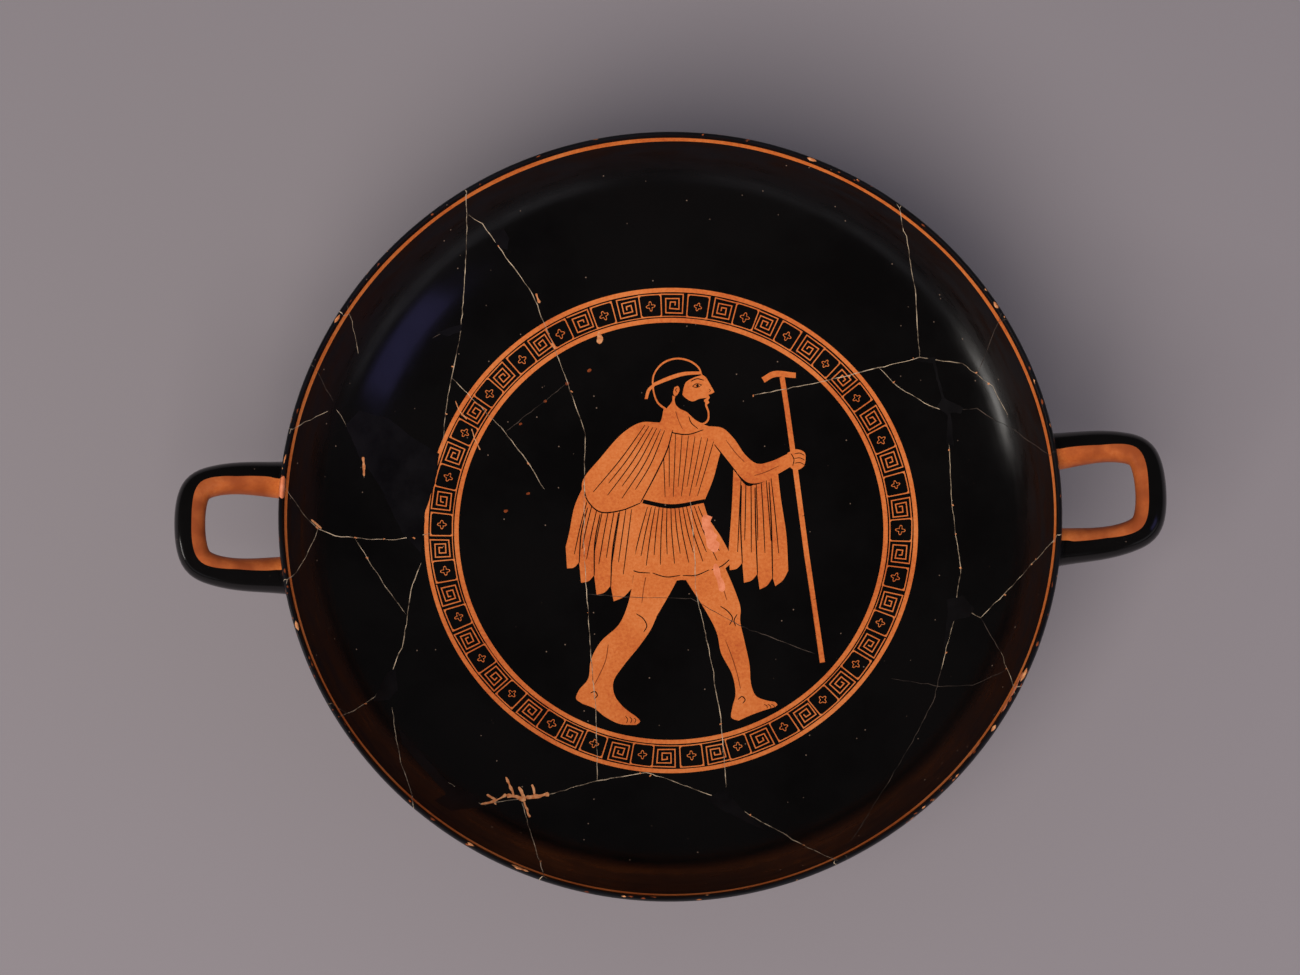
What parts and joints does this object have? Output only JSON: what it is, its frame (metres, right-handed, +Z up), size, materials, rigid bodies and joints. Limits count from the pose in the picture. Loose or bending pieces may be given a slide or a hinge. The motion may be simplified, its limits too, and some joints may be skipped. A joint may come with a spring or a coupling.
{
  "type": "greek kylix cup",
  "caption": "Wide shallow stemmed drinking cup with two loop handles, black gloss with a reserved clay figure and border inside the bowl.",
  "frame": {"origin": "on the cup's vertical axis, in the plane that the foot rests on", "axes": "+Z up along the cup's axis; +X through the two handles; -Y towards the side from which the picture in the bowl stands upright"},
  "size_m": [0.38, 0.3, 0.119],
  "materials": {
    "black_gloss_slip": "gloss",
    "reserved_clay": "satin"
  },
  "bodies": {
    "root": {"kylix": "black_gloss_slip"}
  },
  "joints": []
}
